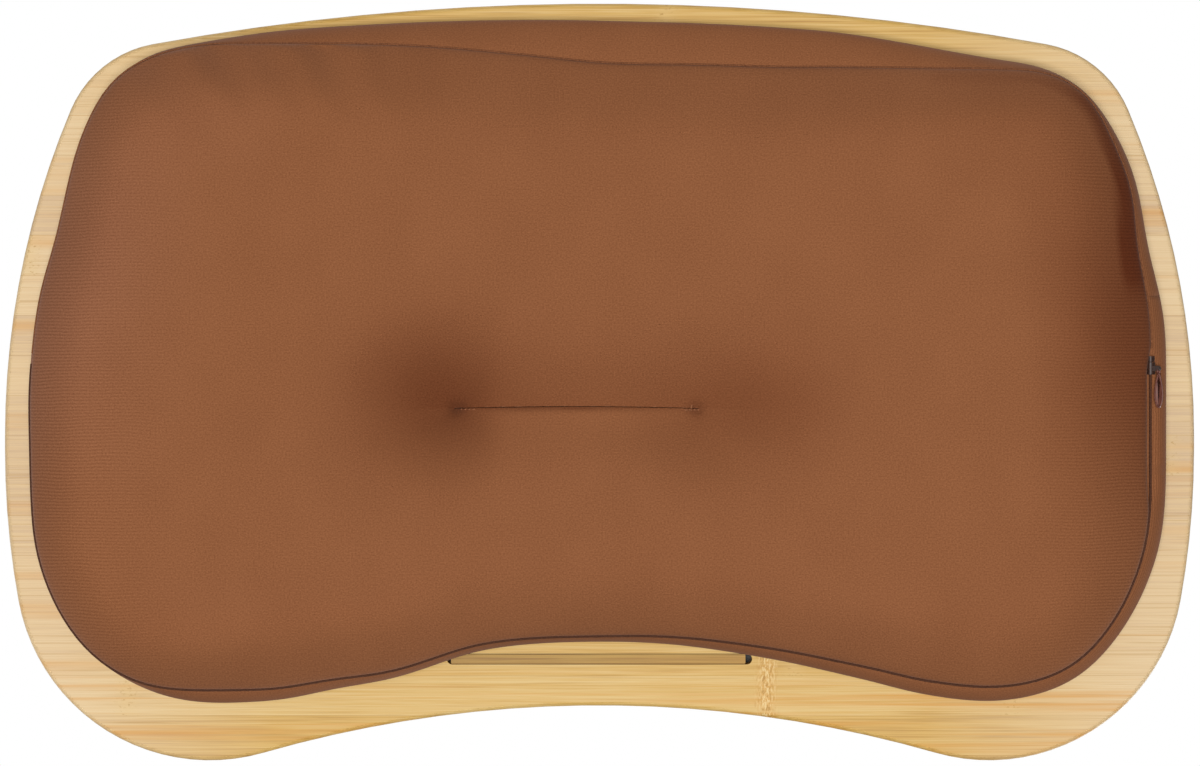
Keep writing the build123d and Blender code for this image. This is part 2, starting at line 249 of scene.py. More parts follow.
def excess(tree, value, limit, slope):
    """How far a value passes a limit, times a slope, held between 0 and 1."""
    return math_node(tree, "MULTIPLY", math_node(tree, "SUBTRACT", value, limit), slope, clamp=True)


def tone_ramp(tree, value, stops):
    """A colour ramp with the given stops; returns its colour socket."""
    ramp = add_node(tree, "ValToRGB", {0: value})
    while len(ramp.color_ramp.elements) < len(stops):
        ramp.color_ramp.elements.new(0.5)
    for element, (place, color) in zip(ramp.color_ramp.elements, stops):
        element.position = place
        element.color = (*color, 1)
    return ramp.outputs["Color"]


def mix_color(tree, factor, first, second, blend="MIX"):
    """Mixes two colours, each a socket or a plain colour; returns the colour socket."""
    return add_node(tree, "Mix", {0: factor, 6: first, 7: second}, data_type="RGBA", blend_type=blend).outputs[2]


def lay_over(tree, color, *layers):
    """Lays tints over a colour, each by its mask times its share."""
    for mask, share, tint in layers:
        color = mix_color(tree, math_node(tree, "MULTIPLY", mask, share), color, tint)
    return color


def bamboo_group():
    """Strips, fibres, amber streaks and knuckles of bamboo, as masks and a height."""
    masks = ("Strip Tone", "Fibre", "Amber", "Knuckle", "Joint", "Height")
    group, start, end = new_group("bamboo_grain", {"Strip Width": board_strip_width}, masks)
    calc, marks = partial(math_node, group), partial(stretched_noise, group)
    vector = start.outputs["Vector"]
    x, y, z = axes(group, vector)
    across = calc("DIVIDE", y, start.outputs["Strip Width"])
    lot = add_node(group, "TexWhiteNoise", {"W": calc("FLOOR", across)}, noise_dimensions="1D")
    strip_tone = lot.outputs["Value"]
    shifted = add_node(group, "CombineXYZ", {
        "X": calc("MULTIPLY_ADD", strip_tone, strip_shift, x), "Y": y, "Z": z,
    }).outputs[0]
    coarse = marks(shifted, coarse_fibres, 4, 0.6)
    fine = marks(shifted, fine_fibres, 2)
    fibre = calc("MULTIPLY_ADD", fine, 0.5, calc("MULTIPLY", coarse, 0.5))
    fibre = calc("MULTIPLY_ADD", calc("SUBTRACT", fibre, 0.5), 2.3, 0.5, clamp=True)
    amber = excess(group, marks(shifted, amber_marks, 3, 0.55), 0.56, 6.0)
    place = calc("MULTIPLY_ADD", strip_tone, knuckle_spacing, x)
    place = calc("MULTIPLY_ADD", marks(vector, knuckle_rims, 2), knuckle_sway, place)
    along = calc("SUBTRACT", calc("FRACT", calc("DIVIDE", place, knuckle_spacing)), 0.5)
    off = calc("ABSOLUTE", calc("MULTIPLY", along, knuckle_spacing))
    knuckle = calc("SUBTRACT", 1.0, calc("DIVIDE", off, knuckle_half), clamp=True)
    from_middle = calc("ABSOLUTE", calc("SUBTRACT", calc("FRACT", across), 0.5))
    joint = excess(group, from_middle, glue_line_start, 80.0)
    height = calc("MULTIPLY_ADD", joint, -0.5, calc("MULTIPLY_ADD", knuckle, -0.35, fibre))
    for name, socket in zip(masks, (strip_tone, fibre, amber, knuckle, joint, height)):
        group.links.new(socket, end.inputs[name])
    return group


bamboo = bamboo_group()


def bamboo_material(name, strip_width, pale, warm, dark, amber_color, end_color, offset,
                    cluster_at=None, streak_y=None, painted_shadow=None):
    """Coated bamboo for one piece, with its own tones and its own place in the grain."""
    material, tree, shader, coordinates = new_material(name)
    calc, marks = partial(math_node, tree), partial(stretched_noise, tree)
    x, y, z = axes(tree, coordinates)
    placed = add_node(tree, "Mapping", {"Location": offset, "Vector": coordinates}).outputs[0]
    grain = add_node(tree, "Group", {"Strip Width": strip_width, "Vector": placed}, node_tree=bamboo).outputs
    tone = calc("MULTIPLY_ADD", grain["Strip Tone"], 0.34, calc("MULTIPLY", grain["Fibre"], 0.66))
    color = tone_ramp(tree, tone, [(0.20, dark), (0.50, warm), (0.78, pale)])
    end_pale = excess(tree, calc("ABSOLUTE", x), end_pale_start, end_pale_slope)
    pore = excess(tree, marks(placed, pores, 2, 0.6), 0.57, 7.0)
    tick = excess(tree, marks(placed, knuckle_speckles, 2, 0.7), 0.58, 9.0)
    color = lay_over(
        tree, color, (end_pale, 0.53, end_color), (pore, 0.42, dark), (grain["Amber"], 0.55, amber_color),
        (grain["Knuckle"], 0.28, pale), (calc("MULTIPLY", tick, grain["Knuckle"]), 0.7, dark),
        (grain["Joint"], 0.45, dark))
    if cluster_at is not None:
        cluster_x, cluster_y = cluster_at
        streak = excess(tree, marks(placed, streaks, 3, 0.6), 0.5, 6.0)
        streak = calc("MULTIPLY", streak, excess(tree, streak_y, y, streak_slope))
        bend = marks(placed, cluster_bends, 2)
        off = calc("ABSOLUTE", calc("MULTIPLY_ADD", bend, cluster_sway, calc("SUBTRACT", x, cluster_x)))
        cluster = calc("SUBTRACT", 1.2, calc("DIVIDE", off, cluster_half), clamp=True)
        cluster = calc("MULTIPLY", cluster, excess(tree, cluster_y, y, 600.0))
        stroke = marks(placed, cluster_strokes, 2, 0.65)
        lit = calc("MULTIPLY", excess(tree, stroke, 0.53, 12.0), cluster)
        sunk = calc("MULTIPLY", excess(tree, 0.46, stroke, 12.0), cluster)
        color = lay_over(tree, color, (streak, 0.6, amber_color), (cluster, 0.35, amber_color),
                         (lit, 0.75, cluster_lit), (sunk, 0.75, dark))
    # Painted shadow: a nearly black band on the faces at the given height and across the given strip, where shade
    # falls in the slot.
    if painted_shadow is not None:
        shadow_y, shadow_z, shadow_half, shadow_color = painted_shadow
        level = calc("LESS_THAN", calc("ABSOLUTE", calc("SUBTRACT", z, shadow_z)), shadow_depth)
        strip = calc("LESS_THAN", calc("ABSOLUTE", calc("SUBTRACT", y, shadow_y)), shadow_half)
        color = mix_color(tree, calc("MULTIPLY", level, strip), color, shadow_color)
    bump = add_node(tree, "Bump", {"Strength": 0.35, "Distance": 0.0003, "Height": grain["Height"]})
    feed(tree, shader, {
        "Base Color": color, "Roughness": calc("MULTIPLY_ADD", grain["Fibre"], 0.14, 0.54),
        "Specular IOR Level": 0.35, "Coat Weight": 0.05, "Coat Roughness": 0.5, "Normal": bump.outputs[0],
    })
    return material


def dress(node_name, material):
    """Puts a material on a carried-over CAD node, with smooth shading left to its own normals."""
    mesh = nodes[node_name].data
    mesh.materials.clear()
    mesh.materials.append(material)


dress("tray_board", bamboo_material(
    "bamboo_board", board_strip_width, pale=(0.700, 0.500, 0.210), warm=(0.615, 0.385, 0.105),
    dark=(0.40, 0.205, 0.036), amber_color=(0.61, 0.275, 0.036), end_color=(0.745, 0.595, 0.420),
    offset=(0.02, 0.0062, 0), cluster_at=(-0.0740, -0.1245), streak_y=-0.130))

# Stop bar.
# One narrow strip of darker bamboo on edge: its tongue fills the slot, and its head lies on the tray. The head's
# lower face is painted nearly black where it closes the slot, as painted shadow at the slot's ends.
stop_strip_width = 0.05
slot_shadow_half = 0.0035
slot_shadow_color = (0.012, 0.008, 0.006)


def box_middle(node_name):
    """The middle of a CAD node's box."""
    return [(low + high) / 2 for low, high in zip(*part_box(node_name))]


dress("stop_bar", bamboo_material(
    "bamboo_stop", stop_strip_width, pale=(0.55, 0.355, 0.115), warm=(0.47, 0.285, 0.070),
    dark=(0.30, 0.155, 0.030), amber_color=(0.46, 0.21, 0.030), end_color=(0.55, 0.355, 0.115),
    offset=(0.31, 0.03, 0),
    painted_shadow=(box_middle("stop_bar")[1], board_high.z, slot_shadow_half, slot_shadow_color)))

# Cushion form.
# A fibre-filled pad in a cover of face panel, side band and back panel. The cover's seams hold it in, the filling
# swells it between them, and a thread through the middle draws a wide dish into the face.
ring_points = 300
face_rings = 40
band_rings = 10
band_spacing = 1.4
back_rings = 10
back_spacing = 1.2
outline_finer = 8
outline_smoothing = 0.004
outline_blur = 2
seam_blur = 2.2
flat_margin = 0.0003
cord_zone = (0.1, 0.01)
side_slack_depth = 0.0042
side_slack_y = 0.062
side_slack_reach = 0.026
side_slack_past = 0.15
crown_fullness = 0.45
crown_fall = 2.4
stitch_hole_depth = 0.0028
stitch_hole_reach = 0.0026
crease_depth = 0.0150
crease_bow = 0.0009
crease_gather = 0.42
crease_overrun = 0.001
crease_half = 0.00012
crease_lip = 0.13
crease_step = 0.0014
crease_far_reach = 0.060
crease_far_fall = 1.9
crease_near_reach = 0.072
crease_near_fall = 1.35
back_middle_half = 0.004
rest_softness = 0.0055
groove_depth = 0.0009
groove_reach = 0.0012
groove_slope = 0.7
zip_groove_depth = 0.0028
zip_groove_reach = 0.0030
zip_groove_far_y = 0.014
zip_groove_near_y = -0.056
zip_groove_ease = 0.006

# Each pit's depth, its reach outwards, inwards, to the far and to the near side, its fall and its roundness
deep_pit = (0.032, 0.084, 0.046, 0.064, 0.054, 2.3, 0.25)
shallow_pit = (0.0235, 0.094, 0.075, 0.064, 0.056, 2.2, 0.45)

# How far the crown runs in from the seam, by compass direction from the middle of the cushion
crown_reaches_mm = (
    (0, 46), (30, 54), (60, 92), (90, 108), (120, 94), (136, 72), (150, 58), (166, 66), (180, 72), (215, 68),
    (250, 60), (270, 56), (300, 58), (330, 50), (360, 46),
)

seam_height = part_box("band_far")[0].z
back_low, back_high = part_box("back_panel")
widest_height = 0.042
back_inset = 0.005
cloth_thickness = 0.0012
tuft_left_x, tuft_y, _ = box_middle("tuft_tack_left")
tuft_right_x = box_middle("tuft_tack_right")[0]

# How far the widest line stands out from an even outline, by the same directions
widest_offsets_mm = (
    (0, 0.3), (6, -2.0), (12, -0.5), (20, -2.8), (27, 1), (36, 3.4), (45, 4.4), (54, 2.8), (60, 2), (72, 0.9),
    (80, 0.3), (96, -0.8), (126, -0.5), (132, -2), (140, -4), (146, -3.4), (151, 0.4), (158, 0.8), (165, 0.4),
    (172, -1), (200, -1.2), (205, 0.5), (211, 4), (217, 0.8), (222, -2.8), (229, 0.8), (240, 1.6), (255, 1),
    (270, 1.3), (290, 1), (298, 1.6), (303, 5), (309, 7.2), (315, 2.4), (319, -1), (325, 2.4), (333, 3.3), (340, 0.6),
    (348, -0.9), (360, 0.3),
)

# How far the face seam lies inside the widest line, by compass direction from the middle of the cushion
seam_insets_mm = (
    (0, 2), (15, 2), (28, 1.2), (31, 1.2), (33.6, 1.6), (36, 3.4), (39, 1), (42.5, 5), (45.5, 7), (52.7, 9.4),
    (61.4, 11.8), (72, 15.6), (84, 19.2), (90, 21), (112, 20), (119, 19.5), (128, 16), (135, 11), (141, 5.6),
    (144, 3.8), (147, 2), (151, 2.4), (155, 5), (161, 4.2), (165, 6.4), (169, 7), (174, 8.6), (190, 9), (205, 7.4),
    (219, 7.8), (232, 6), (250, 4.6), (270, 3.2), (296, 3.8), (308, 4), (317, 6.5), (323, 7.5), (328, 2), (340, 1.5),
    (360, 1.5),
)


def bell(values, middle, reach, power=2):
    """A smooth hump of height 1 round a middle."""
    return np.exp(-np.abs((values - middle) / reach) ** power)


def ease(share):
    """A share from 0 to 1 that starts and ends softly."""
    return share * share * (3 - 2 * share)


def closed_smooth(values, width_points):
    """Smooths values on a closed ring with a bell of the given width in points."""
    count = len(values)
    offsets = np.minimum(np.arange(count), count - np.arange(count))
    weights = np.exp(-0.5 * (offsets / width_points) ** 2)
    weights /= weights.sum()
    return np.real(np.fft.ifft(np.fft.fft(values, axis=0) * np.fft.fft(weights)[:, None], axis=0))


def directions(points):
    """Each point's compass direction in degrees from the middle of the cushion."""
    return np.degrees(np.arctan2(points[:, 1], points[:, 0])) % 360


def by_direction(table_mm, turns):
    """Sizes in metres read from a table of directions and millimetres."""
    return np.interp(turns, *zip(*table_mm)) / 1000


def back_outline():
    """The back panel's outline from its CAD node, resampled evenly and smoothed, and its length."""
    corners = np.array([tuple(v.co) for v in nodes["back_panel"].data.vertices])
    corners = np.unique(np.round(corners[corners[:, 2] > back_high.z - flat_margin][:, :2], 6), axis=0)
    by_cords = (np.abs(corners[:, 0]) < cord_zone[0]) & (np.abs(corners[:, 1] - tuft_y) < cord_zone[1])
    corners = corners[~by_cords]
    corners = corners[np.argsort(np.arctan2(corners[:, 1], corners[:, 0]))]
    loop = np.vstack([corners, corners[:1]])
    run = np.concatenate([[0], np.cumsum(np.linalg.norm(np.diff(loop, axis=0), axis=1))])
    fine_count = ring_points * outline_finer
    along = np.linspace(0, run[-1], fine_count, endpoint=False)
    fine = np.stack([np.interp(along, run, loop[:, axis]) for axis in (0, 1)], axis=1)
    fine = closed_smooth(fine, outline_smoothing / (run[-1] / fine_count))
    return fine[::outline_finer], run[-1]


def outward_normals(loop):
    """Unit normals of a closed counterclockwise loop."""
    tangent = np.roll(loop, -1, axis=0) - np.roll(loop, 1, axis=0)
    tangent /= np.linalg.norm(tangent, axis=1)[:, None]
    return np.stack([tangent[:, 1], -tangent[:, 0]], axis=1)


back_loop, outline_length = back_outline()
normals = outward_normals(back_loop)
compass = directions(back_loop)
side_slack = side_slack_depth * bell(back_loop[:, 1], side_slack_y, side_slack_reach)
side_slack *= np.abs(back_loop[:, 0]) > side_slack_past
swing_out = closed_smooth(by_direction(widest_offsets_mm, compass)[:, None], outline_blur)
widest_loop = back_loop + normals * (back_inset + cloth_thickness - side_slack[:, None] + swing_out)
seam_inset = closed_smooth(by_direction(seam_insets_mm, compass)[:, None], seam_blur)
seam_loop = widest_loop - normals * seam_inset

# The seam lies on the zip's coil where the slider runs
coil_low, coil_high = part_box("zip_coil")
coil_radius = 0.0012
coil_x = coil_low.x + coil_radius
on_zip = np.minimum(zip_groove_far_y - seam_loop[:, 1], seam_loop[:, 1] - zip_groove_near_y)
on_zip = np.clip(on_zip / zip_groove_ease, 0, 1) * (seam_loop[:, 0] < 0)
seam_loop[:, 0] += (coil_x - seam_loop[:, 0]) * on_zip


def seam_distance(points, loop):
    """Distance from each point to the nearest point of a closed loop."""
    start = loop
    step = np.roll(loop, -1, axis=0) - loop
    best = np.full(len(points), 1.0)
    for origin, run in zip(start, step):
        share = np.clip(((points - origin) @ run) / (run @ run), 0, 1)
        reach = np.linalg.norm(points - origin - share[:, None] * run, axis=1)
        best = np.minimum(best, reach)
    return best


def crease_y(x):
    """The stitched line between the tacks bows a little to the far side."""
    half = (tuft_right_x - tuft_left_x) / 2
    share = np.clip((x - (tuft_left_x + tuft_right_x) / 2) / half, -1, 1)
    return tuft_y + crease_bow * (1 - share ** 2)


def pit_reach(points, tack_x, outward, reaches):
    """Distance from a tack, as a share of its pit's reach on that side."""
    out_reach, in_reach, far_reach, near_reach = reaches
    along = (points[:, 0] - tack_x) * outward
    rise = points[:, 1] - tuft_y
    return np.hypot(along / np.where(along > 0, out_reach, in_reach),
                    rise / np.where(rise > 0, far_reach, near_reach))


def face_height(points):
    """Height of the face over the floor: a crown round the rim, a pit at each tack and a crease between them."""
    reach = by_direction(crown_reaches_mm, directions(points))
    edge = np.clip(1 - seam_distance(points, seam_loop) / reach, 0, 1)
    round_crown = 1 - np.sqrt(np.clip(1 - edge ** 2, 0, 1))
    heights = [seam_height * (crown_fullness * round_crown + (1 - crown_fullness) * edge ** crown_fall)]
    for tack_x, outward, pit in ((tuft_left_x, -1, shallow_pit), (tuft_right_x, 1, deep_pit)):
        depth, *reaches, fall, roundness = pit
        share = np.clip(1 - pit_reach(points, tack_x, outward, reaches), 0, 1)
        hole = np.hypot(points[:, 0] - tack_x, points[:, 1] - tuft_y)
        heights.append(depth * (share ** fall * (1 - roundness) + ease(share) * roundness)
                       + stitch_hole_depth * bell(hole, 0, stitch_hole_reach))
    rise = points[:, 1] - crease_y(points[:, 0])
    past = (points[:, 0] - np.clip(points[:, 0], tuft_left_x, tuft_right_x)) / crease_far_reach
    far = np.hypot(past, np.maximum(rise, 0) / crease_far_reach)
    near = np.hypot(past, np.maximum(-rise, 0) / crease_near_reach)
    lip = crease_lip * bell(np.maximum(-rise, 0), 0, crease_step) + 1 - crease_lip
    fall = np.where(rise > 0, crease_far_fall, crease_near_fall)
    heights.append(crease_depth * lip * np.clip(1 - np.where(rise > 0, far, near), 0, 1) ** fall)
    return (np.array(heights) ** 3).sum(axis=0) ** (1 / 3)


def cushion_rings():
    """Rings of the cushion's surface from the tuft, out over the face, up the band and in over the back."""
    middle_x = np.clip(seam_loop[:, 0] * crease_gather, tuft_left_x - crease_overrun, tuft_right_x + crease_overrun)
    hand = np.sign(seam_loop[:, 1] - tuft_y)
    middle = np.stack([middle_x, crease_y(middle_x) + hand * crease_half], axis=1)
    back_middle = np.stack([middle_x, crease_y(middle_x) + hand * back_middle_half], axis=1)
    rings = []
    for step in range(face_rings + 1):
        flat = middle + (seam_loop - middle) * (1 - ease(1 - step / face_rings))
        rings.append(np.column_stack([flat, face_height(flat)]))
    for step in range(1, band_rings + 1):
        height = seam_height + (back_low.z - seam_height) * (step / band_rings) ** band_spacing
        below = max(0.0, (widest_height - height) / (widest_height - seam_height)) ** 2
        above = max(0.0, (height - widest_height) / (back_low.z - widest_height)) ** 2
        flat = widest_loop - (widest_loop - seam_loop) * below - (widest_loop - back_loop) * above
        rings.append(np.column_stack([flat, np.full(ring_points, height)]))
    for step in range(1, back_rings + 1):
        share = step / back_rings
        lift = (back_high.z - back_low.z) * min(1.0, share * 6)
        flat = back_loop + (back_middle - back_loop) * share ** back_spacing
        rings.append(np.column_stack([flat, np.full(ring_points, back_low.z + lift)]))
    return np.array(rings)


def grid_faces(rows, count, closed=True):
    """Quads between rows of points, wound so that they point out of the cushion."""
    return [(row * count + point, (row + 1) * count + point,
             (row + 1) * count + (point + 1) % count, row * count + (point + 1) % count)
            for row in range(rows - 1) for point in range(count if closed else count - 1)]


def end_faces(rows, count):
    """One face over the first row of points and one over the last."""
    return [tuple(range(count - 1, -1, -1)), tuple(range((rows - 1) * count, rows * count))]


def mesh_piece(name, points, faces):
    """A new object from points and faces, selected alone and active."""
    mesh = bpy.data.meshes.new(name)
    mesh.from_pydata([tuple(p) for p in points.reshape(-1, 3)], [], faces)
    piece = bpy.data.objects.new(name, mesh)
    bpy.context.scene.collection.objects.link(piece)
    bpy.ops.object.select_all(action="DESELECT")
    piece.select_set(True)
    bpy.context.view_layer.objects.active = piece
    return piece


def apply_modifier(piece, kind, **settings):
    """Adds a modifier with its settings to the active piece and applies it."""
    modifier = piece.modifiers.new(kind.lower(), kind)
    for name, value in settings.items():
        setattr(modifier, name, value)
    bpy.ops.object.modifier_apply(modifier=modifier.name)


def edit_whole():
    """Goes into edit mode with the whole piece selected."""
    bpy.ops.object.mode_set(mode="EDIT")
    bpy.ops.mesh.select_all(action="SELECT")


rings = cushion_rings()
total_rings = len(rings)

# How the filling swells the cover: its cloth, how far it may move, and how near a seam or the tuft holds it
swell_voxel = 0.0048
swell_frames = 20
swell_cloth = {
    "quality": 6, "mass": 0.25, "tension_stiffness": 18, "compression_stiffness": 18, "shear_stiffness": 6,
    "bending_stiffness": 0.35, "vertex_group_mass": "held", "use_pressure": True, "uniform_pressure_force": 4.0,
    "shrink_min": -0.03,
}
swell_cap = 0.0055
swell_hold = 0.006
swell_hold_back = 0.004
band_swell_share = 0.25
face_seam_hold = 0.022
band_seam_hold = 0.010
tuft_hold = 0.016
nearest_points = 6
nearest_ease = 0.002


def swell(points):
    """Lets the filling swell a copy of the form as cloth; returns how far each point of the form moves."""
    pad = mesh_piece("swell", points, grid_faces(total_rings, ring_points) + end_faces(total_rings, ring_points))
    apply_modifier(pad, "REMESH", mode="VOXEL", voxel_size=swell_voxel)
    start = np.array([tuple(v.co) for v in pad.data.vertices])
    held = pad.vertex_groups.new(name="held")
    seam_gap = seam_distance(start[:, :2], seam_loop) + np.abs(start[:, 2] - seam_height)
    across = start[:, 0] - np.clip(start[:, 0], tuft_left_x, tuft_right_x)
    tuft_gap = np.hypot(across, start[:, 1] - tuft_y) + (start[:, 2] > widest_height)
    fixed = (start[:, 2] > back_low.z - swell_hold_back) | (seam_gap < swell_hold) | (tuft_gap < swell_hold)
    for index in np.flatnonzero(fixed):
        held.add([int(index)], 1.0, "REPLACE")
    cloth = pad.modifiers.new("cloth", "CLOTH")
    for name, value in swell_cloth.items():
        setattr(cloth.settings, name, value)
    cloth.settings.effector_weights.gravity = 0
    cloth.collision_settings.use_self_collision = False
    cloth.point_cache.frame_start = 1
    cloth.point_cache.frame_end = swell_frames
    for step in range(1, swell_frames + 1):
        bpy.context.scene.frame_set(step)
    done = pad.evaluated_get(bpy.context.evaluated_depsgraph_get()).to_mesh()
    moved = np.array([tuple(v.co) for v in done.vertices]) - start
    bpy.context.scene.frame_set(1)
    bpy.data.objects.remove(pad)
    places = kdtree.KDTree(len(start))
    for index, point in enumerate(start):
        places.insert(point, index)
    places.balance()
    result = np.zeros_like(points.reshape(-1, 3))
    for index, point in enumerate(points.reshape(-1, 3)):
        found = places.find_n(Vector(point), nearest_points)
        weights = np.array([1 / (reach + nearest_ease) for _, _, reach in found])
        result[index] = (weights[:, None] * moved[[i for _, i, _ in found]]).sum(axis=0) / weights.sum()
    return result.reshape(points.shape)


def even_out(field, ring_width, point_width):
    """Smooths a field on the grid of rings, both from ring to ring and round each ring."""
    offsets = np.arange(-3 * ring_width, 3 * ring_width + 1)
    weights = np.exp(-0.5 * (offsets / ring_width) ** 2)
    weights /= weights.sum()
    padded = np.concatenate([field[:1].repeat(3 * ring_width, 0), field, field[-1:].repeat(3 * ring_width, 0)])
    mixed = sum(weight * padded[k:k + len(field)] for k, weight in enumerate(weights))
    return np.array([closed_smooth(ring, point_width) for ring in mixed])


ring_index = np.arange(total_rings)
travel = swell(rings)
reach = np.linalg.norm(travel, axis=2, keepdims=True)
travel *= np.minimum(1, swell_cap / np.maximum(reach, 1e-9))
travel = even_out(travel, 3, 7)
seam_gap = np.linalg.norm(rings - rings[face_rings], axis=2)
tuft_gap = np.linalg.norm(rings - rings[0], axis=2)
on_face = ring_index < face_rings
free = 1 - bell(seam_gap, 0, np.where(on_face, face_seam_hold, band_seam_hold)[:, None])
free *= np.where(on_face, 1.0, band_swell_share)[:, None]
free *= 1 - bell(tuft_gap, 0, tuft_hold)
free *= (ring_index < face_rings + band_rings)[:, None]
rings = rings + travel * free[:, :, None]

# Soft puckers run in from the seam at the far corner on the +X side, where the face is eased to the band
pucker_depth = 0.0046
pucker_reach = 0.026
pucker_start = 0.003
pucker_pitches = (0.026, 0.041)
pucker_shares = ((24, 0), (33, 1), (47, 1), (60, 0.5), (72, 0))
seam_run = np.linspace(0, outline_length, ring_points, endpoint=False)
short_wave, long_wave = (2 * math.pi * seam_run / pitch for pitch in pucker_pitches)
pucker = np.sin(short_wave + 0.6) * 0.5 + np.sin(long_wave) * 0.5
pucker *= np.interp(compass, *zip(*pucker_shares))
ring_gap = np.linalg.norm(rings - rings[face_rings], axis=2)
pucker_size = pucker_depth * np.exp(-ring_gap / pucker_reach) * (1 - bell(ring_gap, 0, pucker_start))
rings[:, :, 2] += pucker_size * pucker[None, :] * (ring_index <= face_rings)[:, None]

# The seam between face and band is pulled in by its stitches, deeper where the zip's slider runs
groove_rings = 8
far_groove_depth_share = 0.5
far_groove_reach_share = 0.7
coil_fade_start = 0.006
coil_fade_length = 0.008
ring_gap = np.linalg.norm(rings - rings[face_rings], axis=2)
near_seam = (np.abs(ring_index - face_rings) < groove_rings)[:, None]
over_coil = np.clip((coil_high.y + coil_fade_start - seam_loop[:, 1]) / coil_fade_length, 0, 1)
groove_depths = groove_depth * (far_groove_depth_share + (1 - far_groove_depth_share) * over_coil)
groove_depths += (zip_groove_depth - groove_depths) * on_zip
groove_reaches = groove_reach * (far_groove_reach_share + (1 - far_groove_reach_share) * over_coil)
groove_reaches += (zip_groove_reach - groove_reaches) * on_zip
pull_in = groove_slope * groove_depths * bell(ring_gap, 0, groove_reaches) * near_seam
seam_normals = outward_normals(seam_loop)
rings[:, :, :2] -= pull_in[:, :, None] * seam_normals
rings[:, :, 2] += pull_in

# The face settles softly on the plane that it rests on
pressed = (rings[:, :, 2] + np.sqrt(rings[:, :, 2] ** 2 + rest_softness ** 2)) / 2
pressed -= pressed[:face_rings + 1].min()
rings[:face_rings, :, 2] = pressed[:face_rings]
rings[:, :, 2] = np.maximum(rings[:, :, 2], 0.0)

# Cover fabric.
# A soft brown knit with fine ribs across the cushion. Painted shade darkens its colour by the zip's rim, in the
# two pits and just above the crease, and painted sheen makes it paler and bluer by the other rim.
merge_gap = 0.00015
rib_pitch = 0.0015
rib_drift = 0.004
# The ribs are real. Their stronger colour contrast towards the sides is painted sheen and shade of the ribs under
# grazing light.
rib_middle_depth = 0.02
rib_grazing_light_contrast = 0.22
rib_side_start = 0.185
rib_side_slope = 16.0
fabric_dark = (0.193, 0.0695, 0.0277)
fabric_light = (0.305, 0.1195, 0.0505)
painted_shade_tint = (0.449, 0.290, 0.232)
painted_sheen_tint = (1.04, 1.10, 1.34)
sheen_tint = (1.0, 0.82, 0.76)


def knit_group():
    """Fine ribs and yarn grain of the cover on flat fabric coordinates in metres."""
    group, start, end = new_group("rib_knit", {"Rib Pitch": rib_pitch, "Rib Depth": 0.05}, ("Tone", "Height"))
    calc, marks = partial(math_node, group), partial(stretched_noise, group)
    vector, pitch = start.outputs["Vector"], start.outputs["Rib Pitch"]
    x, y, _ = axes(group, vector)
    across = calc("MULTIPLY_ADD", marks(vector, (22, 22, 22), 2), rib_drift, y)
    turn = calc("MULTIPLY", calc("DIVIDE", across, pitch), 2 * math.pi)
    rib = calc("MULTIPLY_ADD", calc("SINE", turn), 0.5, 0.5)
    along = calc("MULTIPLY", calc("DIVIDE", x, pitch), 3.1 * math.pi)
    loop = calc("MULTIPLY_ADD", calc("SINE", along), 0.5, 0.5)
    yarn = marks(vector, (1250, 1500, 1250), 2, 0.6)
    patch = marks(vector, (30, 24, 30), 2)
    height = calc("ADD", yarn, calc("MULTIPLY_ADD", rib, 0.10, calc("MULTIPLY", loop, 0.08)))
    tone = calc("MULTIPLY_ADD", calc("SUBTRACT", rib, 0.5), start.outputs["Rib Depth"],
                calc("MULTIPLY", yarn, 0.85))
    group.links.new(calc("MULTIPLY_ADD", patch, 0.14, tone), end.inputs["Tone"])
    group.links.new(height, end.inputs["Height"])
    return group


knit = knit_group()


def cover_material(name):
    """Knit cover cloth: its ribs show more towards the sides as painted sheen and shade, and two attributes tint it
    with painted shade and painted sheen.
    """
    material, tree, shader, coordinates = new_material(name)
    # Painted sheen and shade: the ribs' colour contrast grows towards the sides, where the ribs take grazing light.
    side = excess(tree, math_node(tree, "ABSOLUTE", axes(tree, coordinates)[0]), rib_side_start, rib_side_slope)
    cloth = add_node(tree, "Group", {
        "Vector": add_node(tree, "UVMap", uv_map="cloth").outputs[0],
        "Rib Depth": math_node(tree, "MULTIPLY_ADD", side, rib_grazing_light_contrast, rib_middle_depth),
    }, node_tree=knit).outputs
    color = tone_ramp(tree, cloth["Tone"], [(0.30, fabric_dark), (0.74, fabric_light)])
    # The two attributes multiply painted shade and painted sheen into the colour.
    for attribute, tint in (("shade_paint", painted_shade_tint), ("sheen_paint", painted_sheen_tint)):
        share = add_node(tree, "Attribute", attribute_name=attribute).outputs["Fac"]
        color = mix_color(tree, share, color, tint, blend="MULTIPLY")
    bump = add_node(tree, "Bump", {"Strength": 0.5, "Distance": 0.00022, "Height": cloth["Height"]})
    feed(tree, shader, {
        "Base Color": color, "Roughness": math_node(tree, "MULTIPLY_ADD", cloth["Tone"], -0.2, 0.95), "IOR": 1.12,
        "Sheen Weight": 0.07, "Sheen Roughness": 0.42, "Sheen Tint": sheen_tint, "Normal": bump.outputs[0],
    })
    return material


